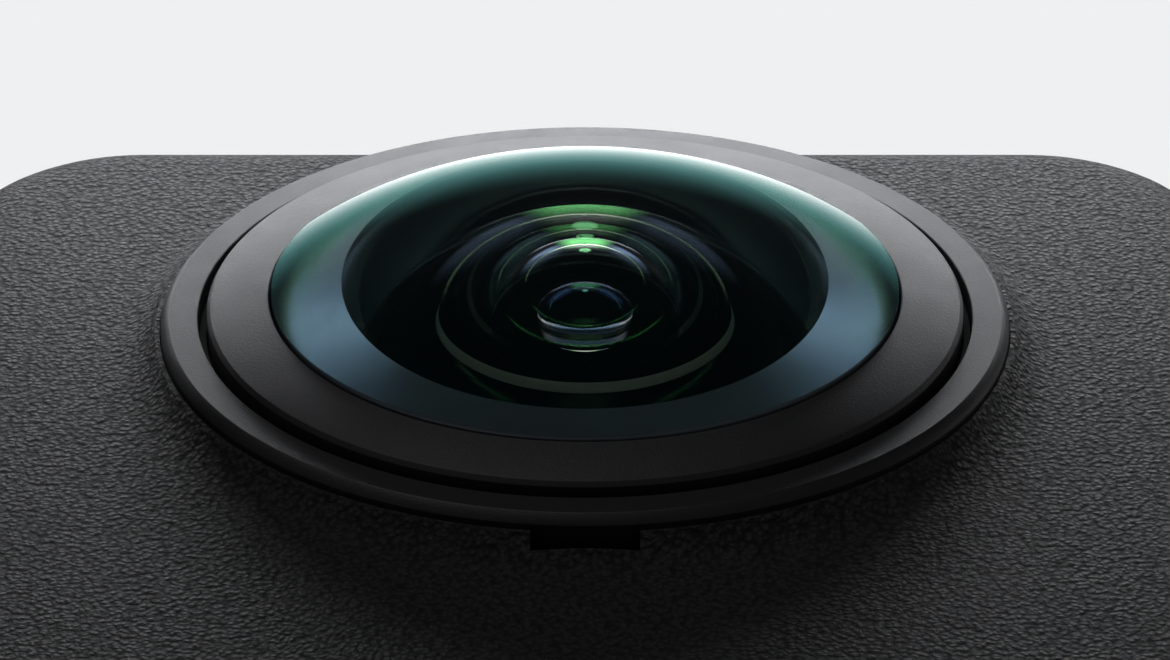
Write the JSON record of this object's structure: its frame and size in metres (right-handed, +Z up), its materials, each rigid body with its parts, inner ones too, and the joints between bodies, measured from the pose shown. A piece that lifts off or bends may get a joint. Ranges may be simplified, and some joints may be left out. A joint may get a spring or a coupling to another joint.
{
  "type": "360 degree camera",
  "caption": "Slim upright camera with a domed fisheye lens on each broad face, a rear display, side doors and a tripod thread in its base.",
  "frame": {"origin": "mouth of the tripod thread, at the centre of the base that the camera stands on", "axes": "+Z up along the body's height, -Y out of the front lens, +X towards the battery door"},
  "size_m": [0.0613, 0.0362, 0.081],
  "materials": {
    "shell": "fine leather-like grain, matt black polymer",
    "trim_metal": "dark anodised, turned smooth",
    "bezel_metal": "dark anodised, bead blasted",
    "lens_glass": "coated optical glass, polished",
    "seat_satin": "satin black",
    "barrel_black": "dead black",
    "cell_metal": "dark anodised",
    "seal_rubber": "black silicone",
    "sensor_face": "glossy sensor window",
    "board": "solder mask",
    "spreader_aluminium": "plain sheet",
    "inner_plastic": "plain moulded",
    "display_glass": "polished black cover glass",
    "display_face": "switched off panel",
    "button": "fine satin",
    "record_mark": "red inlay",
    "light_pipe": "translucent white",
    "bright_steel": "plain",
    "battery_wrap": "grey wrap",
    "latch_plastic": "fine satin, ribbed",
    "contact_brass": "plain",
    "base_metal": "dark anodised, matt"
  },
  "bodies": {
    "camera_body": {"front_shell": "shell", "rear_shell": "shell", "front_trim_ring": "trim_metal", "rear_trim_ring": "trim_metal", "front_bezel": "bezel_metal", "rear_bezel": "bezel_metal", "front_dome_lens": "lens_glass", "rear_dome_lens": "lens_glass", "front_second_lens": "lens_glass", "rear_second_lens": "lens_glass", "front_inner_lens": "lens_glass", "rear_inner_lens": "lens_glass", "front_rear_lens": "lens_glass", "rear_rear_lens": "lens_glass", "front_seat_ring": "seat_satin", "rear_seat_ring": "seat_satin", "front_lens_barrel": "barrel_black", "rear_lens_barrel": "barrel_black", "front_gate": "barrel_black", "rear_gate": "barrel_black", "front_second_cell": "cell_metal", "rear_second_cell": "cell_metal", "shell_seal": "seal_rubber", "front_ring_seal": "seal_rubber", "rear_ring_seal": "seal_rubber", "front_sensor": "sensor_face", "rear_sensor": "sensor_face", "front_sensor_board": "board", "rear_sensor_board": "board", "shutter_switch": "board", "side_key_board": "board", "connector_board": "board", "main_board": "board", "heat_spreader": "spreader_aluminium", "battery_bay": "inner_plastic", "speaker": "inner_plastic", "display_cover": "display_glass", "display_panel": "display_face", "status_light": "light_pipe", "microphones": "bright_steel", "battery_door_pin": "bright_steel", "connector_door_pin": "bright_steel", "connector_socket": "bright_steel", "card_socket": "bright_steel", "processor_shield": "bright_steel", "base_magnets": "bright_steel", "base_screws": "bright_steel", "battery_pack": "battery_wrap", "battery_contacts": "contact_brass", "tripod_bush": "contact_brass", "base_plate": "base_metal"},
    "shutter": {"shutter_button": "button", "shutter_mark": "record_mark"},
    "power_key": {"power_button": "button"},
    "quick_key": {"quick_button": "button"},
    "battery_door": {"battery_door": "shell", "battery_door_seal": "seal_rubber"},
    "battery_latch": {"battery_latch": "latch_plastic"},
    "connector_door": {"connector_door": "shell"}
  },
  "joints": [
    {"name": "shutter_press", "type": "slide", "parent": "camera_body", "child": "shutter", "axis": [0, 1, 0], "range_m": [0, 0.0004], "stiffness_N_per_m": 1500},
    {"name": "power_press", "type": "slide", "parent": "camera_body", "child": "power_key", "axis": [1, 0, 0], "range_m": [0, 0.0003], "stiffness_N_per_m": 1500},
    {"name": "quick_press", "type": "slide", "parent": "camera_body", "child": "quick_key", "axis": [1, 0, 0], "range_m": [0, 0.0003], "stiffness_N_per_m": 1500},
    {"name": "battery_door_hinge", "type": "hinge", "parent": "camera_body", "child": "battery_door", "pos_m": [0.02915, 0, 0.011], "axis": [0, 1, 0], "range_deg": [0, 90]},
    {"name": "battery_latch_slide", "type": "slide", "parent": "battery_door", "child": "battery_latch", "axis": [0, 0, 1], "range_m": [0, 0.002]},
    {"name": "connector_door_hinge", "type": "hinge", "parent": "camera_body", "child": "connector_door", "pos_m": [-0.0294, 0, 0.0134], "axis": [0, -1, 0], "range_deg": [0, 90]}
  ]
}
